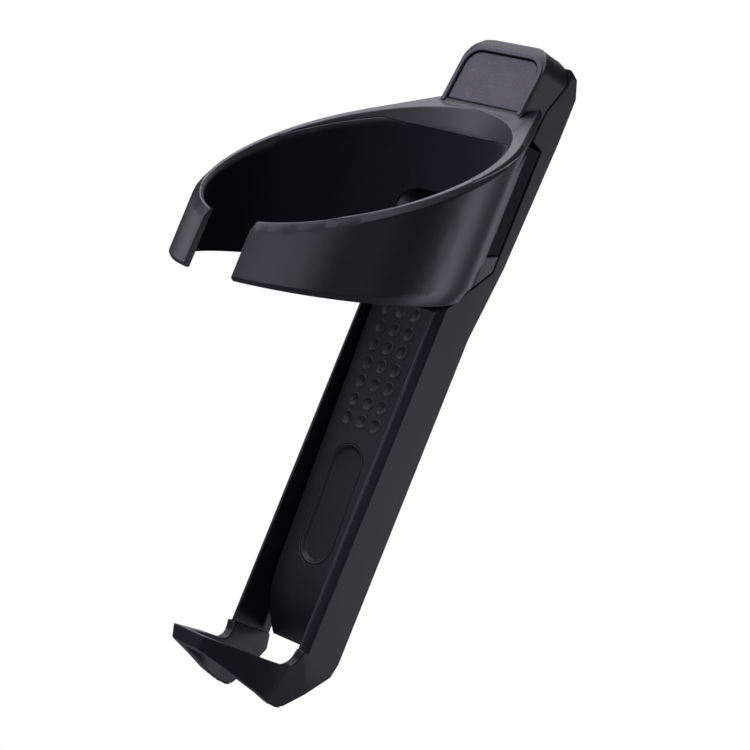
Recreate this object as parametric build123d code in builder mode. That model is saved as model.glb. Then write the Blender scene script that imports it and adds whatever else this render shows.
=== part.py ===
"""Water bottle cage: a channel spine with a hook foot, an open collar and a badge head.

Frame: origin midway between the two M5 mounting slots, on the face that meets the bicycle tube.
+Y points at the tube, -Y at the bottle, +Z up along the spine, +X to the right seen from the bottle.
"""
import os
from math import acos, atan2, cos, degrees, sin, sqrt

from build123d import *

# ---- mounting pattern ----
bolt_spacing = 64.0          # M5 bosses on a bicycle tube
bolt_slot_width = 5.4        # clearance for an M5 bolt
bolt_slot_length = 7.4       # end to end, so the cage can be slid 1 mm each way
bolt_land = 3.6              # thickness that the lower bolt clamps

# ---- spine ----
spine_width = 27.2
flange_wall = 2.2
lip_front = -13.6            # front of the channel lips
lip_bevel_side = 1.7
lip_bevel_front = 1.5
back_wall = 3.2
back_wall_foot = -66.0       # the back wall ends here, above the foot opening
spine_top = 80.8
spine_corner = 3.6           # rounded top corners, seen from the front
head_corner = 7.0
cheek_depth = 4.2            # side cheeks behind the upper half, which flank the tube
cheek_wall = 3.4
cheek_front = -0.9           # front edge of the cheeks beside the neck
boss_wall = 1.4              # round the well under the slot cover

# ---- foot ----
rest_height = -81.3          # the bottle stands on the arms at this height
foot_bottom = -91.4
foot_reach = -38.8           # front of the cross bar
bar_half_width = 5.4
bar_height = 3.2
bar_depth = 4.2
arm_wall = 2.6
arm_root = -19.9             # Y where the arms leave the flanges
crook_round = 3.2            # inside corner between lips and arms
nose_round = 1.4
foot_joint = -76.5           # the channel section ends and the foot's begins

# ---- collar ----
bottle_axis = -45.2          # Y of the bottle's centre line
collar_bore = 30.5           # radius of the bore, relaxed
lead_in_radius = 31.8        # the bore opens to this at the rim
lead_in_drop = 2.6           # height of the lead-in on the bottle's centre line
lead_in_fade = 0.059         # the lead-in gets lower by this much per mm towards the front
front_wall = 2.1
rear_wall = 5.4
rim_height = 34.9            # height of the rim plane on the bottle's centre line
rim_slope = 0.825            # rise of the rim plane per mm towards the spine
skirt_height = 5.4           # height of the lower edge on the bottle's centre line
skirt_slope = 0.338
rim_bevel_top = 1.2
rim_bevel_side = 1.8
skirt_bevel = 1.1
skirt_band = 2.4             # height of the lower bevel on the bottle's centre line
skirt_fade = 0.045
gap_half_width = 7.8
tip_round = 1.0
wing_tip = (20.0, -12.8)     # X and Y of the free rear edge of the side fairings
wing_top_height = 29.6
wing_top_slope = 0.73
wing_foot_height = 10.4
wing_foot_slope = 0.44
band_tip = (13.6, -5.7)      # the bands above and below the side fairings end here
neck_half_width = 11.8
neck_waist = -9.0            # in front of this the neck is straight
window_height = 11.4         # opening in the rear wall, in front of the upper bolt
window_width = 21.2
window_rise = 0.8            # the opening's centre is this much above the bolt's

# ---- head and badge ----
face_foot = (-12.7, 62.4)    # Y and Z of the sloping front face
face_top = (-10.4, 78.5)
badge_width = 24.0
badge_height = 14.4
badge_corner = 4.4
badge_pocket = 1.1
badge_thickness = 0.9
badge_gap = 0.3
badge_bevel = 0.2
badge_lift = 0.5             # from the foot of the face up to the badge pocket
head_wall = 1.6

# ---- dimpled strip ----
strip_half_width = 9.9
strip_face = -10.2           # Y of the strip's face at the lowest dimple row
strip_lean = 0.0475          # the face comes forward this much per mm of height
strip_wall = 2.2
strip_side_wall = 1.6
strip_top = 10.5
strip_bend = -59.0           # the face turns back towards the tube below this
strip_end = -76.3
lowest_row = -20.2
dimple_rows = 7
dimple_columns = 3
dimple_pitch = 4.75
dimple_radius = 1.5
dimple_depth = 0.45
cover_length = 31.0
cover_width = 10.8
cover_centre = -41.4
cover_thickness = 2.4
cover_dish = 1.0
cover_rim = 0.45             # flat round the dish
cover_taper = 40.0           # slope of the dish's sides, degrees
cover_gap = 0.12
cover_ledge = 0.55

# ---- fits and fasteners ----
seam = 0.2                   # joint line between two mouldings
screw_radius = 1.1
screw_head_radius = 2.0
screw_head_height = 1.2
screw_sink = 1.6             # depth of the counterbore
screw_length = 5.4           # below the head
screw_socket = 0.9           # corner radius of the hexagon socket
pilot_clearance = 0.05
hole_clearance = 0.2
post_radius = 2.6
collar_screws = [(-8.0, 20.0), (8.0, 20.0), (-8.0, 46.0), (8.0, 46.0)]
head_screws = [(-7.0, 70.0), (7.0, 70.0)]
strip_screws = [(0.0, 2.0), (0.0, -61.2)]

# ---- worked out from the sizes above ----
far = 120.0
half = spine_width / 2
inner_half = half - flange_wall
collar_front = bottle_axis - collar_bore - front_wall
collar_back = bottle_axis + collar_bore + rear_wall
collar_outer = (collar_back - collar_front) / 2
collar_centre = (collar_back + collar_front) / 2
root_y = bottle_axis + collar_bore - 1.6
crest_y = bottle_axis + lead_in_radius + 0.2
face_height = face_top[1] - face_foot[1]
boss_depth = 5.5
screw_places = collar_screws + head_screws + strip_screws
screw_tip = screw_sink + screw_length + 0.4
dimple_ball = (dimple_radius**2 + dimple_depth**2) / (2 * dimple_depth)
face_lean = atan2(face_top[0] - face_foot[0], face_top[1] - face_foot[1])
face_plane = Plane((0, *face_foot), (1, 0, 0), (0, -cos(face_lean), sin(face_lean)))
strip_plane = Plane((0, strip_face, lowest_row), (1, 0, 0), (0, -1, -strip_lean))

# joint between head cover and frame, seen from the side: over the neck, then along the rim
head_joint = [(-1.2, 79.4), (-1.0, 75.3), (-4.7, 67.0), (-5.3, 62.0), (-5.5, 58.5)]
seam_step = [(-7.5, 57.2), (-12.0, 54.4)]
rim_joint = [(-22.0, 52.2), (-42.0, 37.2)]
shoulder = [(cheek_front, 57.6), (cheek_front, 25.5), (lip_front, 10.0)]
neck_top = shoulder[0][1] - 2 * seam


def sloped(height, slope):
    """Plane that rises towards the spine, given its height on the bottle's centre line."""
    return Plane((0, bottle_axis, height), (1, 0, 0), (0, -slope, 1))


def strip_y(z):
    """Y of the dimpled strip's face at a height."""
    return strip_face - strip_lean * (z - lowest_row)


def rim_at(y):
    """Height of the rim plane."""
    return rim_height + rim_slope * (y - bottle_axis)


def wing_foot_at(y):
    """Height of the foot of the side fairings and recesses."""
    return wing_foot_height + wing_foot_slope * (y - bottle_axis)


def skirt_at(y):
    """Height of the plane through the collar's lower edge."""
    return skirt_height + skirt_slope * (y - bottle_axis)


def ring_section(radius, plane, axis=bottle_axis):
    """Ellipse that a vertical cylinder leaves on a plane that slopes towards the spine."""
    stretch = sqrt(1 + (plane.z_dir.Y / plane.z_dir.Z) ** 2)
    with BuildSketch(plane) as section:
        with Locations((0, (axis - bottle_axis) * stretch)):
            Ellipse(radius, radius * stretch)
    return section.sketch


def arm_plane(hand, inset=0.0):
    """Side of a foot arm, which runs in from the flange to the cross bar and under."""
    normal = Vector(0.866 * hand, -0.369, -0.338)
    return Plane(Vector(half * hand, arm_root, rest_height) - normal * inset, z_dir=normal)


def draft_plane(hand, inset=0.0):
    """Lower side of the foot, drawn in towards the bottom."""
    normal = Vector(0.974 * hand, 0, -0.225)
    return Plane(Vector(half * hand, 0, foot_joint) - normal * inset, z_dir=normal)


rim_plane = sloped(rim_height, rim_slope)
lead_in_plane = sloped(rim_height - lead_in_drop, rim_slope - lead_in_fade)
skirt_plane = sloped(skirt_height, skirt_slope)
rim_band_plane = sloped(rim_height - rim_bevel_side, rim_slope)
skirt_band_plane = sloped(skirt_height + skirt_band, skirt_slope + skirt_fade)
wing_top_plane = sloped(wing_top_height, wing_top_slope)
wing_foot_plane = sloped(wing_foot_height, wing_foot_slope)



def front_view(corner):
    """Straight-sided block with rounded top corners, seen from the front."""
    with BuildPart() as block:
        with BuildSketch(Plane.XZ):
            with Locations((0, (spine_top - far) / 2)):
                Rectangle(spine_width, spine_top + far)
        extrude(amount=far, both=True)
        fillet(block.edges().filter_by(Axis.Y).group_by(Axis.Z)[-1], corner)
    return block.part


def tangent_edge(tip):
    """Point where a line from the tip touches the ring, and the line's outward normal."""
    edge = Vector(tip[0], tip[1] - collar_centre)
    turn = degrees(acos(collar_outer / edge.length))
    normal = edge.normalized().rotate(Axis.Z, -turn)
    return normal * collar_outer + Vector(0, collar_centre), normal


def fairing_plan(tip, *roots):
    """Plan of a fairing on each side, from the ring's tangent to a tip and back inside the ring."""
    start = tangent_edge(tip)[0]
    with BuildSketch(Plane.XY.offset(-10)) as plan:
        with BuildLine():
            Polyline((start.X, start.Y), tip, *roots, (start.X - 3, start.Y - 3), close=True)
        make_face()
        mirror(about=Plane.YZ)
    return plan.sketch

# ---- foot: two arms that run in to a cross bar, open between them ----
with BuildPart() as foot_space:
    with BuildSketch(Plane.XY.offset(foot_bottom - 5)):
        with Locations((0, (foot_reach + bar_depth + 5) / 2)):
            Rectangle(2 * inner_half, 5 - foot_reach - bar_depth)
    extrude(amount=foot_joint - foot_bottom + 5)
    for hand in (-1, 1):
        split(bisect_by=draft_plane(hand, arm_wall), keep=Keep.BOTTOM)
        split(bisect_by=arm_plane(hand, arm_wall), keep=Keep.BOTTOM)

with BuildPart() as foot:
    with BuildSketch(Plane.YZ) as foot_side:
        with BuildLine():
            Polyline(
                (0, foot_joint), (0, -80.4), (-4.8, -86.2), (-9.6, -90.6), (-11.6, foot_bottom),
                (-14.6, -90.9), (-28.0, -87.2), (foot_reach, rest_height - bar_height),
                (foot_reach, rest_height), (lip_front, rest_height), (lip_front, foot_joint),
                close=True,
            )
        make_face()
        fillet(foot_side.vertices().group_by(Axis.Y)[0], nose_round)
    extrude(amount=half, both=True)
    for hand in (-1, 1):
        split(bisect_by=draft_plane(hand), keep=Keep.BOTTOM)
        split(bisect_by=arm_plane(hand), keep=Keep.BOTTOM)
    add(foot_space.part, mode=Mode.SUBTRACT)

# ---- spine: channel, lips, back wall and cheeks ----
with BuildPart() as spine:
    with BuildSketch(Plane.YZ):
        with BuildLine():
            Polyline(
                (0, foot_joint), (0, 8.0), (2.6, 27.5), (cheek_depth, 62.0), (cheek_depth, 73.5),
                (1.8, 77.9), *[(y + seam, z) for y, z in head_joint], *shoulder,
                (lip_front, foot_joint), close=True,
            )
        make_face()
    extrude(amount=half, both=True)
    lips = spine.edges().filter_by(Axis.Z).group_by(Axis.Y)[0]
    chamfer(lips, lip_bevel_front, lip_bevel_side)
    add(front_view(spine_corner), mode=Mode.INTERSECT)
    # channel in front of the back wall
    with BuildSketch(Plane.XY.offset(foot_joint)):
        with Locations((0, -far / 2 - back_wall)):
            Rectangle(2 * inner_half, far)
    extrude(amount=spine_top - foot_joint, mode=Mode.SUBTRACT)
    # the back wall stops short of the foot
    with BuildSketch(Plane.XY.offset(foot_joint)):
        Rectangle(2 * inner_half, far)
    extrude(amount=back_wall_foot - foot_joint, mode=Mode.SUBTRACT)
    # the tube lies between the cheeks
    with BuildSketch(Plane.XY):
        with Locations((0, far / 2)):
            Rectangle(spine_width - 2 * cheek_wall, far)
    extrude(amount=far, mode=Mode.SUBTRACT)
    # boss that carries the slot cover, with a well for the head of the lower bolt
    with BuildSketch(strip_plane.offset(-cover_thickness)):
        with Locations((0, cover_centre - lowest_row)):
            SlotOverall(cover_length + 2 * boss_wall, cover_width + 2 * boss_wall, rotation=90)
    extrude(amount=-boss_depth)
    with BuildSketch(Plane.XZ.offset(bolt_land)):
        with Locations((0, cover_centre)):
            SlotOverall(cover_length - 2 * cover_ledge, cover_width - 2 * cover_ledge, rotation=90)
    extrude(amount=far, mode=Mode.SUBTRACT)
    # slots for the two M5 bolts
    with BuildSketch(Plane.XZ.offset(-far)):
        with Locations((0, bolt_spacing / 2), (0, -bolt_spacing / 2)):
            SlotOverall(bolt_slot_length, bolt_slot_width, rotation=90)
    extrude(amount=2 * far, mode=Mode.SUBTRACT)
    # counterbored holes for the assembly screws
    with BuildSketch(Plane.XZ):
        with Locations(*screw_places):
            Circle(screw_radius + hole_clearance)
    extrude(amount=back_wall + 1, mode=Mode.SUBTRACT)
    with BuildSketch(Plane.XZ):
        with Locations(*screw_places):
            Circle(screw_head_radius + hole_clearance)
    extrude(amount=screw_sink, mode=Mode.SUBTRACT)
    add(foot.part)
    crook = spine.edges().filter_by(Axis.X).filter_by(
        lambda e: abs(e.center().Y - lip_front) < 0.01 and abs(e.center().Z - rest_height) < 0.01
    )
    fillet(crook, crook_round)

# ---- room that the bottle takes, with the lead-in at the rim ----
with BuildPart() as bottle_space:
    with BuildSketch(Plane.XY):
        with Locations((0, bottle_axis)):
            Circle(collar_bore)
    extrude(amount=far, both=True)
    loft([ring_section(collar_bore, lead_in_plane), ring_section(lead_in_radius, rim_plane)], ruled=True)

# ---- head block, behind and above the rim ----
with BuildPart() as head_block:
    with BuildSketch(Plane.YZ):
        with BuildLine():
            Polyline(
                (root_y, seam_step[-1][1]), (root_y, rim_at(root_y)), (crest_y, rim_at(crest_y)),
                face_foot, face_top, (-9.2, spine_top), (-2.8, spine_top), *head_joint, *seam_step,
                close=True,
            )
        make_face()
    extrude(amount=half, both=True)
    add(front_view(head_corner), mode=Mode.INTERSECT)
    # hollow behind the face
    with BuildSketch(face_plane.offset(-badge_pocket - head_wall)):
        with Locations((0, (face_height - head_wall) / 2)):
            Rectangle(2 * (inner_half - seam), face_height - head_wall)
    extrude(amount=-far, mode=Mode.SUBTRACT)
    with BuildSketch(Plane.XZ.offset(back_wall)):
        with Locations(*head_screws):
            Circle(post_radius)
    extrude(amount=-back_wall - face_foot[0] - badge_pocket - head_wall + 0.8)
    # badge pocket
    with BuildSketch(face_plane):
        with Locations((0, badge_lift + badge_height / 2)):
            pocket = Rectangle(badge_width, badge_height)
        fillet(pocket.vertices().group_by(Axis.Y)[-1], badge_corner)
    extrude(amount=-badge_pocket, mode=Mode.SUBTRACT)
    add(bottle_space.part, mode=Mode.SUBTRACT)

# ---- everything in front of the spine, before it is parted along the seam ----
with BuildPart() as front_body:
    loft(
        [
            ring_section(collar_outer - skirt_bevel, skirt_plane, collar_centre),
            ring_section(collar_outer, skirt_band_plane, collar_centre),
            ring_section(collar_outer, rim_band_plane, collar_centre),
            ring_section(collar_outer - rim_bevel_top, rim_plane, collar_centre),
        ],
        ruled=True,
    )
    # side fairings that leave the ring on a tangent and stop short of the spine
    with BuildPart(mode=Mode.PRIVATE) as wings:
        add(fairing_plan(wing_tip, (wing_tip[0] - 3, wing_tip[1] - 1.8)))
        extrude(amount=far)
        split(bisect_by=wing_top_plane, keep=Keep.BOTTOM)
        split(bisect_by=wing_foot_plane, keep=Keep.TOP)
    add(wings.part)
    # fairings below and above them, which run on to the spine's sides
    with BuildPart(mode=Mode.PRIVATE) as band:
        add(fairing_plan(band_tip, (inner_half - seam, band_tip[1]), (inner_half - seam, root_y + 2)))
        extrude(amount=far)
        split(bisect_by=rim_plane, keep=Keep.BOTTOM)
        split(bisect_by=skirt_plane, keep=Keep.TOP)
        outer = tangent_edge(band_tip)[1]
        for hand in (-1, 1):
            side = band.faces().sort_by(Axis((0, 0, 0), (outer.X * hand, outer.Y, 0)))[-1]
            chamfer(side.edges().sort_by(Axis.Z)[-1], rim_bevel_side, rim_bevel_top, reference=side)
        for hand in (-1, 1):
            side = band.faces().sort_by(Axis((0, 0, 0), (outer.X * hand, outer.Y, 0)))[-1]
            chamfer(side.edges().sort_by(Axis.Z)[0], skirt_band, skirt_bevel, reference=side)
    with BuildPart(mode=Mode.PRIVATE) as lower_band:
        add(band.part)
        split(bisect_by=wing_foot_plane, keep=Keep.BOTTOM)
    with BuildPart(mode=Mode.PRIVATE) as upper_band:
        add(band.part)
        split(bisect_by=wing_top_plane, keep=Keep.TOP)
    add(lower_band.part)
    add(upper_band.part)
    # neck against the back wall, wider towards the cheeks
    with BuildPart(mode=Mode.PRIVATE) as neck:
        with BuildSketch(Plane.XY):
            with BuildLine():
                Polyline(
                    (-half + seam, 0), (-half + seam, cheek_front), (-neck_half_width, neck_waist),
                    (-neck_half_width, root_y), (neck_half_width, root_y), (neck_half_width, neck_waist),
                    (half - seam, cheek_front), (half - seam, 0), close=True,
                )
            make_face()
        extrude(amount=neck_top)
        split(bisect_by=skirt_plane, keep=Keep.TOP)
    add(neck.part)
    # block below the side recesses
    with BuildSketch(Plane.YZ):
        with BuildLine():
            Polyline(
                (root_y, skirt_at(root_y)), (0, skirt_at(0)), (0, wing_foot_at(0)),
                (root_y, wing_foot_at(root_y)), close=True,
            )
        make_face()
    extrude(amount=half, both=True)
    # room for the back wall and the flanges
    with BuildSketch(Plane.XY):
        with Locations((0, far / 2 - back_wall)):
            Rectangle(2 * (inner_half + seam), far)
    extrude(amount=far, mode=Mode.SUBTRACT)
    with BuildSketch(Plane.YZ.offset(inner_half - seam), Plane.YZ.offset(-half - 5)):
        with BuildLine():
            Polyline(
                (far, shoulder[0][1] - seam), (cheek_front - seam, shoulder[0][1] - seam),
                (cheek_front - seam, shoulder[1][1] + seam), (lip_front - seam, shoulder[2][1] + seam),
                (lip_front - seam, 0), (far, 0), close=True,
            )
        make_face()
    extrude(amount=half + 5 - inner_half + seam, mode=Mode.SUBTRACT)

    # bore, then the front gap with its rounded tips
    add(bottle_space.part, mode=Mode.SUBTRACT)
    with BuildSketch(Plane.XZ.offset(-bottle_axis)):
        Rectangle(2 * gap_half_width, 2 * far)
    extrude(amount=far, mode=Mode.SUBTRACT)
    tips = front_body.edges().filter_by(Axis.Z).filter_by(
        lambda e: abs(abs(e.center().X) - gap_half_width) < 0.01 and e.center().Y < bottle_axis
    )
    fillet(tips, tip_round)
    # opening in the rear wall
    with BuildSketch(Plane.XZ):
        with Locations((0, bolt_spacing / 2 + window_rise)):
            SlotOverall(window_width, window_height)
    extrude(amount=-bottle_axis, mode=Mode.SUBTRACT)

# ---- joint between the collar and the head cover ----
with BuildPart() as seam_cap:
    with BuildSketch(Plane.YZ) as seam_side:
        with BuildLine():
            Polyline(
                *head_joint, *seam_step, *rim_joint, (rim_joint[-1][0], far), (head_joint[0][0], far),
                close=True,
            )
        make_face()
    extrude(amount=far, both=True)

with BuildPart() as collar:
    add(front_body.part)
    add(seam_cap.part, mode=Mode.SUBTRACT)
    with BuildSketch(Plane.XZ.offset(back_wall)):
        with Locations(*collar_screws):
            Circle(screw_radius + pilot_clearance)
    extrude(amount=screw_tip - back_wall, mode=Mode.SUBTRACT)

with BuildPart() as head_cover:
    add(front_body.part)
    add(seam_cap.part, mode=Mode.INTERSECT)
    add(head_block.part)
    with BuildSketch(Plane.XZ.offset(back_wall)):
        with Locations(*head_screws):
            Circle(screw_radius + pilot_clearance)
    extrude(amount=screw_tip - back_wall, mode=Mode.SUBTRACT)

with BuildPart() as head_badge:
    with BuildSketch(face_plane.offset(-badge_pocket)):
        with Locations((0, badge_lift + badge_height / 2)):
            plate = Rectangle(badge_width - 2 * badge_gap, badge_height - 2 * badge_gap)
        fillet(plate.vertices().group_by(Axis.Y)[-1], badge_corner - badge_gap)
    extrude(amount=badge_thickness)
    chamfer(head_badge.faces().sort_by(Axis(face_plane.origin, face_plane.z_dir))[-1].edges(), badge_bevel)

# ---- dimpled strip ----
with BuildPart() as dimpled_strip:
    with BuildSketch(Plane.YZ) as strip_side:
        with BuildLine():
            front = Line((strip_y(strip_top), strip_top), (strip_y(strip_bend), strip_bend))
            turn = TangentArc(front @ 1, (0, strip_end), tangent=front % 1)
            tail = Line(turn @ 1, turn @ 1 + (turn % 1) * 10)
            Polyline(tail @ 1, ((tail @ 1).X, strip_top), front @ 0)
        make_face()
    extrude(amount=strip_half_width, both=True)
    # the walls stop at the back wall, and below it at the tube
    with BuildSketch(Plane.YZ):
        with BuildLine():
            Polyline(
                (-back_wall, far), (-back_wall, back_wall_foot - seam), (-seam, back_wall_foot - seam),
                (-seam, -far), (far, -far), (far, far), close=True,
            )
        make_face()
    extrude(amount=half, both=True, mode=Mode.SUBTRACT)
    with BuildSketch(Plane.YZ):
        add(strip_side.sketch_local)
        offset(amount=-strip_wall, kind=Kind.INTERSECTION, mode=Mode.REPLACE)
    extrude(amount=strip_half_width - strip_side_wall, both=True, mode=Mode.SUBTRACT)
    # posts for the screws
    with BuildPart(mode=Mode.PRIVATE) as posts:
        with BuildSketch(Plane.XZ.offset(back_wall)):
            with Locations(*strip_screws):
                Circle(post_radius)
        extrude(amount=far)
        with BuildSketch(Plane.YZ):
            add(strip_side.sketch_local)
        extrude(amount=half, both=True, mode=Mode.INTERSECT)
    add(posts.part)
    with BuildSketch(Plane.XZ.offset(back_wall)):
        with Locations(*strip_screws):
            Circle(screw_radius + pilot_clearance)
    extrude(amount=screw_tip - back_wall, mode=Mode.SUBTRACT)
    # opening for the slot cover
    with BuildSketch(strip_plane.offset(strip_wall)):
        with Locations((0, cover_centre - lowest_row)):
            SlotOverall(cover_length, cover_width, rotation=90)
    extrude(amount=-2 * strip_wall - 0.5, mode=Mode.SUBTRACT)
    # dimples
    with Locations(strip_plane.offset(dimple_ball - dimple_depth)):
        with Locations((0, (dimple_rows - 1) * dimple_pitch / 2)):
            with GridLocations(dimple_pitch, dimple_pitch, dimple_columns, dimple_rows):
                Sphere(dimple_ball, mode=Mode.SUBTRACT)

with BuildPart() as slot_cover:
    with BuildSketch(strip_plane.offset(-cover_thickness)):
        with Locations((0, cover_centre - lowest_row)):
            SlotOverall(cover_length - 2 * cover_gap, cover_width - 2 * cover_gap, rotation=90)
    extrude(amount=cover_thickness)
    with BuildSketch(strip_plane):
        with Locations((0, cover_centre - lowest_row)):
            SlotOverall(cover_length - 2 * cover_rim, cover_width - 2 * cover_rim, rotation=90)
    extrude(amount=-cover_dish, taper=cover_taper, mode=Mode.SUBTRACT)

# ---- assembly screws, driven from the back ----
with BuildPart() as assembly_screws:
    with BuildSketch(Plane.XZ.offset(screw_sink - screw_head_height)):
        with Locations(*screw_places):
            Circle(screw_head_radius)
    extrude(amount=screw_head_height)
    with BuildSketch(Plane.XZ.offset(screw_sink)):
        with Locations(*screw_places):
            Circle(screw_radius)
    extrude(amount=screw_length)
    with BuildSketch(Plane.XZ.offset(screw_sink - screw_head_height)):
        with Locations(*screw_places):
            RegularPolygon(screw_socket, 6)
    extrude(amount=screw_head_height * 0.7, mode=Mode.SUBTRACT)

os.makedirs("parts", exist_ok=True)
spine.part.label = "spine"
collar.part.label = "collar"
head_cover.part.label = "head_cover"
head_badge.part.label = "head_badge"
dimpled_strip.part.label = "dimpled_strip"
slot_cover.part.label = "slot_cover"
assembly_screws.part.label = "assembly_screws"
export_step(spine.part, "parts/spine.step")
export_step(collar.part, "parts/collar.step")
export_step(head_cover.part, "parts/head_cover.step")
export_step(head_badge.part, "parts/head_badge.step")
export_step(dimpled_strip.part, "parts/dimpled_strip.step")
export_step(slot_cover.part, "parts/slot_cover.step")
export_step(assembly_screws.part, "parts/assembly_screws.step")
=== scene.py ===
import bpy, bmesh
from math import atan, cos, pi, radians, sin, sqrt
from mathutils.bvhtree import BVHTree
from mathutils import Matrix, Vector


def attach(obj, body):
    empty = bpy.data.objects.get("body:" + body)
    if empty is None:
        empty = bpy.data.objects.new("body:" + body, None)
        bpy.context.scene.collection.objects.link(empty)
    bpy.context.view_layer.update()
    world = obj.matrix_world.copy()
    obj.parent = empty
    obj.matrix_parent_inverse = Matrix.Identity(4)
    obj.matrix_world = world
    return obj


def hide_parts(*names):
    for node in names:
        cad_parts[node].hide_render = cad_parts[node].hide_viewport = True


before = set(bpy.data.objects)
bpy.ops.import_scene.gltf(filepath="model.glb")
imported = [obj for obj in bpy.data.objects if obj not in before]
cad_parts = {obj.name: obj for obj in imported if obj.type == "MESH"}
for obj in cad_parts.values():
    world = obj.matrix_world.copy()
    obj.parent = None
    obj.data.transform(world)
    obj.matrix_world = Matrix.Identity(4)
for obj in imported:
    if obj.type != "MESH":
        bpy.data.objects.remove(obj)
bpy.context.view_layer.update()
mm = 0.001


def hexToLinear(text):
    parts = [int(text[i:i + 2], 16) / 255 for i in (1, 3, 5)]
    return [c / 12.92 if c <= 0.04045 else ((c + 0.055) / 1.055) ** 2.4 for c in parts] + [1.0]


def addNode(tree, kind, values=(), links=(), **settings):
    node = tree.nodes.new(kind)
    for name, value in settings.items():
        setattr(node, name, value)
    for socket, value in dict(values).items():
        node.inputs[socket].default_value = value
    for socket, source in dict(links).items():
        tree.links.new(source, node.inputs[socket])
    return node


def newMaterial(name):
    mat = bpy.data.materials.new(name)
    mat.use_nodes = True
    mat.node_tree.nodes.clear()
    return mat, mat.node_tree


# a Mix node has several sockets of one name, so those of its colours go by number
mixFactor, mixFrom, mixTo, mixOut = 0, 6, 7, 2

# what every moulding shares: where on the noise a patch or a speck starts and is full, the same for a
# convex edge, and how far slow flow marks shift the roughness each way
mould = {"patchFrom": 0.35, "patchFull": 0.65, "speckFrom": 0.5, "speckFull": 0.75, "edgeFrom": 0.52,
         "edgeFull": 0.60, "shinier": 0.04, "duller": 0.05, "diffuseRough": 0.3}
bore = {"axis": (0, -45.2 * mm, 0), "inner": 30.75 * mm, "outer": 31.2 * mm}


# Moulded plastics share one recipe: a spark-eroded mould leaves a fine grain that scatters the gloss,
# slow flow marks shift colour and roughness a little, and handling polishes the outer edges. The convex
# edges are also painted paler in colour, a painted highlight. The real grain is under 0.1 mm and too
# fine to show, so it is drawn at about 0.4 mm, with pits a little wider.
def mouldedPlastic(name, look):
    mat, tree = newMaterial(name)
    where = addNode(tree, "ShaderNodeTexCoord").outputs["Object"]
    grain = addNode(tree, "ShaderNodeTexNoise", {"Scale": 1 / (look["grainMm"] * mm), "Detail": 3.0},
                    {"Vector": where}).outputs["Fac"]
    pits = addNode(tree, "ShaderNodeTexVoronoi", {"Scale": 1 / (look["pitMm"] * mm)},
                   {"Vector": where}).outputs["Distance"]
    flow = addNode(tree, "ShaderNodeTexNoise",
                   {"Scale": 1 / (look["flowMm"] * mm), "Detail": 2.0, "Distortion": 0.5},
                   {"Vector": where}).outputs["Fac"]
    patches = addNode(tree, "ShaderNodeMapRange",
                      {"From Min": mould["patchFrom"], "From Max": mould["patchFull"]},
                      {"Value": flow}).outputs["Result"]
    # convex edges: a painted highlight in their paler colour, and lower roughness where handling has worn the
    # grain smooth
    edge = addNode(tree, "ShaderNodeNewGeometry").outputs["Pointiness"]
    convexEdgeMix = addNode(tree, "ShaderNodeMapRange",
                   {"From Min": mould["edgeFrom"], "From Max": mould["edgeFull"], "To Max": look["edgeMixMost"]},
                   {"Value": edge}).outputs["Result"]
    base = addNode(tree, "ShaderNodeMix",
                   {mixFrom: hexToLinear(look["dark"]), mixTo: hexToLinear(look["light"])},
                   {mixFactor: patches}, data_type="RGBA")
    specks = addNode(tree, "ShaderNodeMapRange",
                     {"From Min": mould["speckFrom"], "From Max": mould["speckFull"],
                      "To Max": look["speckle"]},
                     {"Value": grain}).outputs["Result"]
    speckled = addNode(tree, "ShaderNodeMix", {mixTo: hexToLinear(look["speck"])},
                       {mixFactor: specks, mixFrom: base.outputs[mixOut]}, data_type="RGBA")
    # the paler edge colour on convex edges is a painted highlight
    colour = addNode(tree, "ShaderNodeMix", {mixTo: hexToLinear(look["edge"])},
                     {mixFactor: convexEdgeMix, mixFrom: speckled.outputs[mixOut]}, data_type="RGBA")
    rough = addNode(tree, "ShaderNodeMapRange",
                    {"To Min": look["rough"] - mould["shinier"], "To Max": look["rough"] + mould["duller"]},
                    {"Value": flow})
    gloss = addNode(tree, "ShaderNodeMath", {1: look["polish"]}, {0: convexEdgeMix}, operation="MULTIPLY")
    finish = addNode(tree, "ShaderNodeMath", {}, {0: rough.outputs["Result"], 1: gloss.outputs["Value"]},
                     operation="SUBTRACT", use_clamp=True).outputs["Value"]
    relief = addNode(tree, "ShaderNodeMath", {}, {0: grain, 1: pits}, operation="ADD")
    bump = addNode(tree, "ShaderNodeBump", {"Strength": look["bump"], "Distance": look["reliefMm"] * mm},
                   {"Height": relief.outputs["Value"]})
    shader = addNode(tree, "ShaderNodeBsdfPrincipled",
                     {"IOR": look["ior"], "Diffuse Roughness": mould["diffuseRough"],
                      "Specular IOR Level": look["sheen"]},
                     {"Base Color": colour.outputs[mixOut], "Roughness": finish,
                      "Normal": bump.outputs["Normal"]})
    if look["boreDull"]:
        dullBore(tree, look, where, finish, shader)
    addNode(tree, "ShaderNodeOutputMaterial", {}, {"Surface": shader.outputs["BSDF"]})
    return mat


# the bore has a coarser, duller grain than the outside
def dullBore(tree, look, where, finish, shader):
    across = addNode(tree, "ShaderNodeVectorMath", {1: (1, 1, 0)}, {0: where}, operation="MULTIPLY")
    apart = addNode(tree, "ShaderNodeVectorMath", {1: bore["axis"]}, {0: across.outputs["Vector"]},
                    operation="DISTANCE")
    inside = addNode(tree, "ShaderNodeMapRange",
                     {"From Min": bore["outer"], "From Max": bore["inner"], "To Max": look["boreDull"]},
                     {"Value": apart.outputs["Value"]}).outputs["Result"]
    sheen = addNode(tree, "ShaderNodeMath", {0: look["sheen"]}, {1: inside}, operation="SUBTRACT")
    duller = addNode(tree, "ShaderNodeMath", {}, {0: finish, 1: inside}, operation="ADD", use_clamp=True)
    tree.links.new(sheen.outputs["Value"], shader.inputs["Specular IOR Level"])
    tree.links.new(duller.outputs["Value"], shader.inputs["Roughness"])


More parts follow.
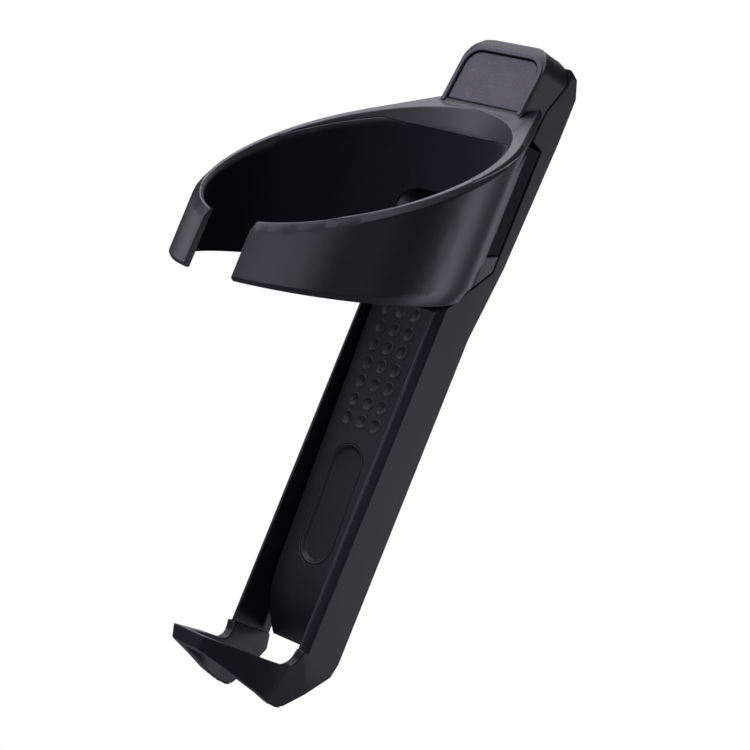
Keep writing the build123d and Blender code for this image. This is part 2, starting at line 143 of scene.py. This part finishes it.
# glass-filled nylon, injection moulded: near black with a blue cast, satin, fine spark-eroded grain
bodyLook = {"dark": "#131318", "light": "#18181e", "speck": "#22222a", "edge": "#2c2c34", "speckle": 0.35,
            "edgeMixMost": 0.8, "grainMm": 0.45, "pitMm": 0.8, "flowMm": 16, "reliefMm": 0.03, "bump": 0.25,
            "rough": 0.42, "polish": 0.1, "ior": 1.53, "boreDull": 0.0, "sheen": 0.3}
bodyNylon = mouldedPlastic("glass-filled nylon, satin moulded", bodyLook)
# the collar has to flex: a tougher nylon, a little glossier outside
collarNylon = mouldedPlastic("tough nylon, satin moulded", {
    **bodyLook, "dark": "#14141a", "light": "#19191f", "rough": 0.4, "flowMm": 22, "boreDull": 0.4,
    "sheen": 0.52})
coverNylon = mouldedPlastic("glass-filled nylon, moulded cover", {
    **bodyLook, "dark": "#141419", "light": "#1a1a20", "rough": 0.44, "flowMm": 18, "sheen": 0.5})
# polypropylene strip: a duller and flatter black than the nylon
stripPoly = mouldedPlastic("polypropylene, matt moulded", {
    **bodyLook, "dark": "#111115", "light": "#16161b", "rough": 0.5, "grainMm": 0.4, "ior": 1.49,
    "sheen": 0.6})
plugPoly = mouldedPlastic("polypropylene, matt moulded plug", {
    **bodyLook, "dark": "#101014", "light": "#141419", "rough": 0.52, "flowMm": 9, "ior": 1.49, "sheen": 0.6})
# ABS plate with a coarse leather-like grain that shows as a paler, sparkling grey
badgeAbs = mouldedPlastic("ABS, grained moulded plate", {
    **bodyLook, "dark": "#4a4851", "light": "#55535d", "speck": "#74717d", "edge": "#6b6974", "speckle": 0.7,
    "edgeMixMost": 0.4, "grainMm": 0.38, "pitMm": 0.6, "flowMm": 7, "reliefMm": 0.05, "bump": 0.5, "rough": 0.55,
    "sheen": 0.5})

steelLook = {"skin": "#1d1d20", "bloom": "#2c2b2d", "bare": "#8b8c90", "latheMm": 0.25, "bloomMm": 1.5,
             "edgeMixMost": 0.7, "edgeFrom": 0.53, "edgeFull": 0.62, "smooth": 0.3, "rough": 0.48, "bump": 0.3,
             "reliefMm": 0.02, "metallic": 0.9}


# Carbon steel with black oxide: a thin dark skin over bright metal, worn at the socket's rim. The marks
# of the lathe are finer than 0.1 mm, and are drawn at 0.25 mm to show.
def blackOxide(look):
    mat, tree = newMaterial("carbon steel, black oxide")
    where = addNode(tree, "ShaderNodeTexCoord").outputs["Object"]
    lathe = addNode(tree, "ShaderNodeTexNoise", {"Scale": 1 / (look["latheMm"] * mm), "Detail": 2.0},
                    {"Vector": where}).outputs["Fac"]
    bloom = addNode(tree, "ShaderNodeTexNoise", {"Scale": 1 / (look["bloomMm"] * mm), "Detail": 2.0},
                    {"Vector": where}).outputs["Fac"]
    edge = addNode(tree, "ShaderNodeNewGeometry").outputs["Pointiness"]
    convexEdgeMix = addNode(tree, "ShaderNodeMapRange",
                   {"From Min": look["edgeFrom"], "From Max": look["edgeFull"], "To Max": look["edgeMixMost"]},
                   {"Value": edge}).outputs["Result"]
    skin = addNode(tree, "ShaderNodeMix",
                   {mixFrom: hexToLinear(look["skin"]), mixTo: hexToLinear(look["bloom"])},
                   {mixFactor: bloom}, data_type="RGBA")
    colour = addNode(tree, "ShaderNodeMix", {mixTo: hexToLinear(look["bare"])},
                     {mixFactor: convexEdgeMix, mixFrom: skin.outputs[mixOut]}, data_type="RGBA")
    rough = addNode(tree, "ShaderNodeMapRange", {"To Min": look["smooth"], "To Max": look["rough"]},
                    {"Value": bloom})
    bump = addNode(tree, "ShaderNodeBump", {"Strength": look["bump"], "Distance": look["reliefMm"] * mm},
                   {"Height": lathe})
    shader = addNode(tree, "ShaderNodeBsdfPrincipled", {"Metallic": look["metallic"]},
                     {"Base Color": colour.outputs[mixOut], "Roughness": rough.outputs["Result"],
                      "Normal": bump.outputs["Normal"]})
    addNode(tree, "ShaderNodeOutputMaterial", {}, {"Surface": shader.outputs["BSDF"]})
    return mat


screwSteel = blackOxide(steelLook)
print("materials made")


def finishPiece(obj, mat, slot, *nodes):
    obj.data.materials.clear()
    obj.data.materials.append(mat)
    if nodes:
        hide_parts(*nodes)
    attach(obj, "root")


def asPlainMesh(obj):
    bpy.context.view_layer.update()
    shape = bpy.data.meshes.new_from_object(obj.evaluated_get(bpy.context.evaluated_depsgraph_get()))
    obj.modifiers.clear()
    obj.data = shape
    return obj


# stray is the share of the radius by which a corner may leave the wall, and weight is that of the big faces
rounding = {"mergeMm": 0.0004, "sharpDeg": 30, "segments": 3, "stray": 0.45, "flatDeg": 0.05, "weight": 50}


def addRadius(obj, radiusMm, sharpDeg):
    bevel = obj.modifiers.new("moulded radius", "BEVEL")
    bevel.width = radiusMm * mm
    bevel.segments = rounding["segments"]
    bevel.angle_limit = radians(sharpDeg)
    return bevel


# A moulding keeps the frame's shape, and gets the small radii that a mould can't avoid on its edges.
# Where a sliver beside a seam makes the radius fold over itself, the stray corner goes back to the wall.
def mouldingFrom(node, name, radiusMm):
    obj = bpy.data.objects.new(name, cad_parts[node].data.copy())
    bpy.context.scene.collection.objects.link(obj)
    bm = bmesh.new()
    bm.from_mesh(obj.data)
    bmesh.ops.remove_doubles(bm, verts=bm.verts, dist=rounding["mergeMm"] * mm)
    wall = BVHTree.FromBMesh(bm)
    lowest = [min(v.co[i] for v in bm.verts) for i in range(3)]
    highest = [max(v.co[i] for v in bm.verts) for i in range(3)]
    for face in bm.faces:
        face.smooth = True
    bm.to_mesh(obj.data)
    bm.free()
    bevel = addRadius(obj, radiusMm, rounding["sharpDeg"])
    bevel.use_clamp_overlap = False
    bevel.face_strength_mode = "FSTR_ALL"
    asPlainMesh(obj)
    for vertex in obj.data.vertices:
        spot, _, _, gap = wall.find_nearest(vertex.co)
        if gap > rounding["stray"] * radiusMm * mm:
            vertex.co = spot
        vertex.co = [min(max(c, lowest[i]), highest[i]) for i, c in enumerate(vertex.co)]
    bm = bmesh.new()
    bm.from_mesh(obj.data)
    bmesh.ops.dissolve_limit(bm, angle_limit=radians(rounding["flatDeg"]), verts=bm.verts, edges=bm.edges)
    bm.to_mesh(obj.data)
    bm.free()
    normals = obj.modifiers.new("flat faces stay flat", "WEIGHTED_NORMAL")
    normals.weight = rounding["weight"]
    normals.use_face_influence = True
    return asPlainMesh(obj)


# verts are in millimetres
def meshObject(name, verts, faces):
    mesh = bpy.data.meshes.new(name)
    mesh.from_pydata([Vector(v) * mm for v in verts], [], faces)
    obj = bpy.data.objects.new(name, mesh)
    bpy.context.scene.collection.objects.link(obj)
    bm = bmesh.new()
    bm.from_mesh(mesh)
    bmesh.ops.recalc_face_normals(bm, faces=bm.faces)
    for face in bm.faces:
        face.smooth = True
    bm.to_mesh(mesh)
    bm.free()
    return obj


# one closed ring of points, from its radius at each step round
def ringPoints(radii, height):
    around = len(radii)
    return [(r * cos(2 * pi * k / around), r * sin(2 * pi * k / around), height) for k, r in enumerate(radii)]


# the fan from point 0 to the first ring, then the band from each ring to the next
def ringFaces(rings, around):
    faces = [(0, 1 + k, 1 + (k + 1) % around) for k in range(around)]
    for i in range(rings - 1):
        a = 1 + i * around
        b = a + around
        faces += [(a + k, b + k, b + (k + 1) % around, a + (k + 1) % around) for k in range(around)]
    return faces


# Geometry Nodes: a tree with named inputs, run once on the piece and turned into a plain mesh
def newTree(name, inputs):
    tree = bpy.data.node_groups.new(name, "GeometryNodeTree")
    tree.interface.new_socket("Geometry", in_out="INPUT", socket_type="NodeSocketGeometry")
    tree.interface.new_socket("Geometry", in_out="OUTPUT", socket_type="NodeSocketGeometry")
    for label, kind in inputs.items():
        tree.interface.new_socket(label, in_out="INPUT", socket_type=kind)
    return tree, tree.nodes.new("NodeGroupInput").outputs


def runTree(obj, tree, values):
    mod = obj.modifiers.new(tree.name, "NODES")
    mod.node_group = tree
    for item in tree.interface.items_tree:
        if item.in_out == "INPUT" and item.name in values:
            mod[item.identifier] = values[item.name]
    return asPlainMesh(obj)


def closeTree(tree, geometry, material):
    real = addNode(tree, "GeometryNodeRealizeInstances", {}, {"Geometry": geometry})
    painted = addNode(tree, "GeometryNodeSetMaterial", {},
                      {"Geometry": real.outputs["Geometry"], "Material": material})
    addNode(tree, "NodeGroupOutput", {}, {"Geometry": painted.outputs["Geometry"]})


mouldings = [
    {"node": "spine", "name": "channel_spine", "mat": bodyNylon, "slot": "moulded_body", "radius": 0.35},
    {"node": "collar", "name": "bottle_collar", "mat": collarNylon, "slot": "moulded_collar", "radius": 0.3},
    {"node": "head_cover", "name": "head_cover_shell", "mat": coverNylon, "slot": "moulded_cover",
     "radius": 0.3},
    {"node": "head_badge", "name": "head_badge_plate", "mat": badgeAbs, "slot": "badge_plate", "radius": 0.1},
    {"node": "dimpled_strip", "name": "grip_strip", "mat": stripPoly, "slot": "strip_inlay", "radius": 0.2},
    {"node": "slot_cover", "name": "bolt_slot_plug", "mat": plugPoly, "slot": "plug", "radius": 0.15},
]
for entry in mouldings:
    piece = mouldingFrom(entry["node"], entry["name"], entry["radius"])
    finishPiece(piece, entry["mat"], entry["slot"], entry["node"])
    print(entry["name"], len(piece.data.polygons), "faces")

# the grip strip's dishes: each lines one dimple, and has a low lip that is flat between the two lipFlat
# distances from the dimple's edge and ends just under the strip's face, at rim
dishes = {"columns": 3, "rows": 7, "pitch": 4.75, "radius": 1.5, "depth": 0.42, "rim": 0.32,
          "rimHeight": -0.02, "lip": 0.13, "lipFlat": (0.06, 0.2), "thickness": 0.06,
          "rings": 7, "around": 24,
          "lowestRow": -20.2, "faceY": -10.2, "lean": 0.0475}


def dishMesh():
    around = dishes["around"]
    profile = []
    for i in range(1, dishes["rings"] + 1):
        t = i / dishes["rings"]
        profile.append((dishes["radius"] * t, -dishes["depth"] * (1 - t ** 2)))
    profile += [(dishes["radius"] + beyond, dishes["lip"]) for beyond in dishes["lipFlat"]]
    profile.append((dishes["radius"] + dishes["rim"], dishes["rimHeight"]))
    verts = [(0, 0, -dishes["depth"])]
    for radius, height in profile:
        verts += ringPoints([radius] * around, height)
    faces = ringFaces(len(profile), around)
    # a second skin just below closes the dish
    base = len(verts)
    verts += [(x, y, z - dishes["thickness"]) for x, y, z in verts]
    faces += [tuple(base + v for v in face)[::-1] for face in faces]
    a = base - around
    b = a + base
    faces += [(a + k, b + k, b + (k + 1) % around, a + (k + 1) % around) for k in range(around)]
    return meshObject("one_dish", verts, faces)


def dishTree():
    tree, given = newTree("dish grid", {
        "Dish": "NodeSocketObject", "Columns": "NodeSocketInt", "Rows": "NodeSocketInt",
        "Pitch": "NodeSocketFloat", "Place": "NodeSocketVector", "Turn": "NodeSocketVector",
        "Material": "NodeSocketMaterial"})
    spans = []
    for count in ("Columns", "Rows"):
        whole = addNode(tree, "ShaderNodeMath", {}, {0: given[count], 1: given["Pitch"]},
                        operation="MULTIPLY")
        spans.append(addNode(tree, "ShaderNodeMath", {}, {0: whole.outputs["Value"], 1: given["Pitch"]},
                             operation="SUBTRACT").outputs["Value"])
    grid = addNode(tree, "GeometryNodeMeshGrid", {}, {
        "Size X": spans[0], "Size Y": spans[1], "Vertices X": given["Columns"], "Vertices Y": given["Rows"]})
    dish = addNode(tree, "GeometryNodeObjectInfo", {}, {"Object": given["Dish"]})
    spread = addNode(tree, "GeometryNodeInstanceOnPoints", {},
                     {"Points": grid.outputs["Mesh"], "Instance": dish.outputs["Geometry"]})
    put = addNode(tree, "GeometryNodeTransform", {}, {
        "Geometry": spread.outputs["Instances"], "Translation": given["Place"], "Rotation": given["Turn"]})
    closeTree(tree, put.outputs["Geometry"], given["Material"])
    return tree


# the grid's middle lies halfway up the leaning face
halfRise = (dishes["rows"] - 1) * dishes["pitch"] / 2
slope = sqrt(1 + dishes["lean"] ** 2)
gridMiddle = Vector((0, dishes["faceY"] - dishes["lean"] * halfRise / slope,
                     dishes["lowestRow"] + halfRise / slope))
oneDish = dishMesh()
dishGrid = meshObject("grip_strip_dishes", [(0, 0, 0)], [])
runTree(dishGrid, dishTree(), {
    "Dish": oneDish, "Columns": dishes["columns"], "Rows": dishes["rows"], "Pitch": dishes["pitch"] * mm,
    "Place": gridMiddle * mm, "Turn": (pi / 2 + atan(dishes["lean"]), 0, 0), "Material": stripPoly})
bpy.data.objects.remove(oneDish)
finishPiece(dishGrid, stripPoly, "strip_inlay")
print("dishes", len(dishGrid.data.polygons), "faces")

# the raised frame round the badge, open at its foot: heights are off the leaning face that faceFoot and
# faceTop give, widths are from the middle, and foot and top are up the face from faceFoot
badgeFrame = {"inner": 12.0, "outer": 13.15, "foot": -0.2, "top": 14.9, "corner": 4.4, "cornerPoints": 9,
              "height": 0.38, "sunk": -0.25, "round": 0.16, "sharpDeg": 40,
              "faceFoot": (0, -12.7, 62.4), "faceTop": (0, -10.4, 78.5)}


def framePath(halfWidth, top, corner):
    path = [(-halfWidth, badgeFrame["foot"])]
    points = badgeFrame["cornerPoints"]
    for k in range(points):
        a = pi - k * pi / (2 * (points - 1))
        path.append((-halfWidth + corner + corner * cos(a), top - corner + corner * sin(a)))
    return path + [(-u, v) for u, v in reversed(path)]


def badgeBorder():
    faceFoot, sideways = Vector(badgeFrame["faceFoot"]), Vector((1, 0, 0))
    upFace = (Vector(badgeFrame["faceTop"]) - faceFoot).normalized()
    outFace = sideways.cross(upFace)
    wide = badgeFrame["outer"] - badgeFrame["inner"]
    inner = framePath(badgeFrame["inner"], badgeFrame["top"], badgeFrame["corner"])
    outer = framePath(badgeFrame["outer"], badgeFrame["top"] + wide, badgeFrame["corner"] + wide)
    sunk, height = badgeFrame["sunk"], badgeFrame["height"]
    verts = []
    for path, lift in ((inner, sunk), (inner, height), (outer, height), (outer, sunk)):
        verts += [faceFoot + sideways * u + upFace * v + outFace * lift for u, v in path]
    n = len(inner)
    faces = []
    for ring in range(4):
        a, b = ring * n, ((ring + 1) % 4) * n
        faces += [(a + k, a + k + 1, b + k + 1, b + k) for k in range(n - 1)]
    # the two feet
    faces += [(0, n, 2 * n, 3 * n), (n - 1, 2 * n - 1, 3 * n - 1, 4 * n - 1)]
    border = meshObject("badge_border", verts, faces)
    addRadius(border, badgeFrame["round"], badgeFrame["sharpDeg"]).harden_normals = True
    return asPlainMesh(border)


border = badgeBorder()
finishPiece(border, badgeAbs, "badge_plate")
print("badge border", len(border.data.polygons), "faces")

# assembly screws: button head, hexagon socket, rolled thread. head gives each ring's radius and its drop
# from the head's top, thread gives where on one turn the flank starts, the crest is and the root starts.
screw = {"headRadius": 2.0, "headHeight": 1.2, "shankRadius": 1.1, "length": 5.4, "headTop": -0.4,
         "head": [(1.5, 0.0), (1.78, 0.06), (1.94, 0.2), (2.0, 0.42)], "underEdge": 0.1, "underRadius": 1.93,
         "socket": 0.9, "socketDepth": 0.75, "socketRim": 0.09, "rimDrop": 0.08, "pointDrop": 0.12,
         "pointTip": 0.2, "pointShare": 0.55, "pitch": 0.9, "threadDepth": 0.16, "thread": (0.25, 0.55, 0.85),
         "tipRadius": 0.7, "around": 36, "splitDeg": 38, "spin": 0.5, "seed": 4,
         "places": [(-8, 20), (8, 20), (-8, 46), (8, 46), (-7, 70), (7, 70), (0, 2), (0, -61.2)]}


# the outside from the head's top to the shank's end, as radius and height
def screwProfile(under):
    shank = screw["shankRadius"]
    root = shank - screw["threadDepth"]
    profile = [(radius, -drop) for radius, drop in screw["head"]]
    profile += [(screw["headRadius"], under + screw["underEdge"]), (screw["underRadius"], under),
                (shank, under)]
    turns = int(screw["length"] / screw["pitch"])
    step = screw["length"] / turns
    for i in range(turns):
        z = under - i * step
        profile += [(r, z - share * step) for r, share in zip((root, shank, root), screw["thread"])]
    return profile + [(screw["tipRadius"], under - screw["length"])]


def screwMesh():
    around = screw["around"]
    under = -screw["headHeight"]
    bottom = -screw["socketDepth"]
    hexagon = []
    for k in range(around):
        fromFlat = (2 * pi * k / around % (pi / 3)) - pi / 6
        hexagon.append(screw["socket"] * cos(pi / 6) / cos(fromFlat))
    rings = [([screw["pointShare"] * h for h in hexagon], bottom - screw["pointDrop"]), (hexagon, bottom),
             (hexagon, -screw["rimDrop"]), ([h + screw["socketRim"] for h in hexagon], 0.0)]
    rings += [([radius] * around, height) for radius, height in screwProfile(under)]
    verts = [(0, 0, bottom - screw["pointTip"])]
    for radii, height in rings:
        verts += ringPoints(radii, height)
    verts.append((0, 0, under - screw["length"]))
    end = len(verts) - 1
    last = end - around
    faces = ringFaces(len(rings), around)
    faces += [(last + k, end, last + (k + 1) % around) for k in range(around)]
    obj = meshObject("one_screw", verts, faces)
    obj.modifiers.new("crisp socket", "EDGE_SPLIT").split_angle = radians(screw["splitDeg"])
    return asPlainMesh(obj)


# each screw is driven along Turn and stops at its own angle, up to Spin either way
def screwTree():
    tree, given = newTree("screw set", {
        "Screw": "NodeSocketObject", "Turn": "NodeSocketVector", "Spin": "NodeSocketFloat",
        "Seed": "NodeSocketInt", "Material": "NodeSocketMaterial"})
    one = addNode(tree, "GeometryNodeObjectInfo", {}, {"Object": given["Screw"]})
    least = addNode(tree, "ShaderNodeMath", {1: -1.0}, {0: given["Spin"]}, operation="MULTIPLY")
    spin = addNode(tree, "FunctionNodeRandomValue", {},
                   {"Min": least.outputs["Value"], "Max": given["Spin"], "Seed": given["Seed"]},
                   data_type="FLOAT")
    about = addNode(tree, "ShaderNodeCombineXYZ", {}, {"Z": spin.outputs[1]})
    local = addNode(tree, "FunctionNodeEulerToRotation", {}, {"Euler": about.outputs["Vector"]})
    drive = addNode(tree, "FunctionNodeEulerToRotation", {}, {"Euler": given["Turn"]})
    both = addNode(tree, "FunctionNodeRotateRotation", {},
                   {"Rotation": drive.outputs["Rotation"], "Rotate By": local.outputs["Rotation"]},
                   rotation_space="LOCAL")
    spread = addNode(tree, "GeometryNodeInstanceOnPoints", {},
                     {"Points": given["Geometry"], "Instance": one.outputs["Geometry"],
                      "Rotation": both.outputs["Rotation"]})
    closeTree(tree, spread.outputs["Instances"], given["Material"])
    return tree


oneScrew = screwMesh()
screwSet = meshObject("assembly_screw_set", [(x, screw["headTop"], z) for x, z in screw["places"]], [])
runTree(screwSet, screwTree(), {"Screw": oneScrew, "Turn": (-pi / 2, 0, 0), "Spin": screw["spin"],
                                "Seed": screw["seed"], "Material": screwSteel})
bpy.data.objects.remove(oneScrew)
finishPiece(screwSet, screwSteel, "screw_steel", "assembly_screws")
print("screws", len(screwSet.data.polygons), "faces")

# The studio is white paper to the camera. To the cage it is a dim cool grey all round, and a grey floor
# from which the lamps' light comes back.
studio = {"floorHeight": -0.32, "floorSize": 6.0, "floor": "#8c8c92", "fill": "#6a6a72", "fillStrength": 0.35,
          "paper": (1, 1, 1, 1), "lampTint": "#f4f1ff", "middle": (0, -0.03, 0.0)}

world = bpy.data.worlds.new("studio")
bpy.context.scene.world = world
world.use_nodes = True
room = world.node_tree
room.nodes.clear()
seen = addNode(room, "ShaderNodeLightPath").outputs["Is Camera Ray"]
fill = addNode(room, "ShaderNodeBackground",
               {"Color": hexToLinear(studio["fill"]), "Strength": studio["fillStrength"]})
paper = addNode(room, "ShaderNodeBackground", {"Color": studio["paper"], "Strength": 1.0})
blend = addNode(room, "ShaderNodeMixShader", {},
                {0: seen, 1: fill.outputs["Background"], 2: paper.outputs["Background"]})
addNode(room, "ShaderNodeOutputWorld", {}, {"Surface": blend.outputs["Shader"]})


def floorMaterial():
    mat, tree = newMaterial("pale studio paper")
    seen = addNode(tree, "ShaderNodeLightPath").outputs["Is Camera Ray"]
    grey = addNode(tree, "ShaderNodeBsdfDiffuse", {"Color": hexToLinear(studio["floor"])})
    lit = addNode(tree, "ShaderNodeEmission", {"Color": studio["paper"], "Strength": 1.0})
    blend = addNode(tree, "ShaderNodeMixShader", {},
                    {0: seen, 1: grey.outputs["BSDF"], 2: lit.outputs["Emission"]})
    addNode(tree, "ShaderNodeOutputMaterial", {}, {"Surface": blend.outputs["Shader"]})
    return mat


floorMesh = bpy.data.meshes.new("pale_floor")
reach = studio["floorSize"] / 2
floorMesh.from_pydata([(-reach, -reach, 0), (reach, -reach, 0), (reach, reach, 0), (-reach, reach, 0)], [],
                      [(0, 1, 2, 3)])
floorMesh.transform(Matrix.Translation((0, 0, studio["floorHeight"])))
floorMesh.materials.append(floorMaterial())
floor = bpy.data.objects.new("pale_floor", floorMesh)
bpy.context.scene.collection.objects.link(floor)

# camera: below the collar, looking slightly up, with the cage leaning to the right in the frame
camera = {"eye": (0.4010, -0.4554, -0.0543), "right": (0.7074, 0.6011, 0.3719),
          "forward": (-0.6686, 0.7396, 0.0765), "lens": 118.4, "sensor": 36, "clipEnd": 20}
forward = Vector(camera["forward"])
right = Vector(camera["right"])
right = (right - right.dot(forward) / forward.length_squared * forward).normalized()
forward.normalize()
up = right.cross(forward)
camData = bpy.data.cameras.new("studio_camera")
camData.lens = camera["lens"]
camData.sensor_width = camera["sensor"]
camData.clip_end = camera["clipEnd"]
cam = bpy.data.objects.new("studio_camera", camData)
bpy.context.scene.collection.objects.link(cam)
turn = Matrix((right, up, -forward)).transposed()
cam.matrix_world = Matrix.Translation(camera["eye"]) @ turn.to_4x4()
bpy.context.scene.camera = cam
bpy.context.scene.view_settings.view_transform = "Standard"

# each lamp stands off in a direction from the middle of the cage, and faces it
lamps = [
    {"name": "overhead", "towards": (-0.32, -0.1, 0.94), "away": 0.8, "size": (1.0, 0.9), "power": 9.0},
    {"name": "front_key", "towards": (0.2, -0.97, 0.14), "away": 0.9, "size": (1.0, 0.5), "power": 2.7},
    {"name": "left_fill", "towards": (-0.7, -0.6, 0.44), "away": 0.9, "size": (0.45, 0.4), "power": 1.4},
    {"name": "left_edge", "towards": (-0.97, -0.2, 0.08), "away": 0.9, "size": (0.3, 0.4), "power": 0.7},
    {"name": "right_side", "towards": (1.0, -0.25, -0.05), "away": 0.9, "size": (0.4, 0.4), "power": 0.3},
    {"name": "back_right", "towards": (0.52, 0.85, 0.0), "away": 0.9, "size": (0.2, 0.6), "power": 1.6},
    {"name": "back_left", "towards": (-0.52, 0.85, 0.15), "away": 0.9, "size": (0.5, 0.9), "power": 1.2},
]


def softBox(lamp):
    light = bpy.data.lights.new(lamp["name"], "AREA")
    light.shape = "RECTANGLE"
    light.size, light.size_y = lamp["size"]
    light.energy = lamp["power"]
    light.color = hexToLinear(studio["lampTint"])[:3]
    box = bpy.data.objects.new(lamp["name"], light)
    bpy.context.scene.collection.objects.link(box)
    middle = Vector(studio["middle"])
    place = middle + Vector(lamp["towards"]).normalized() * lamp["away"]
    box.location = place
    box.rotation_euler = (middle - place).to_track_quat("-Z", "Y").to_euler()


for lamp in lamps:
    softBox(lamp)
print("studio set")
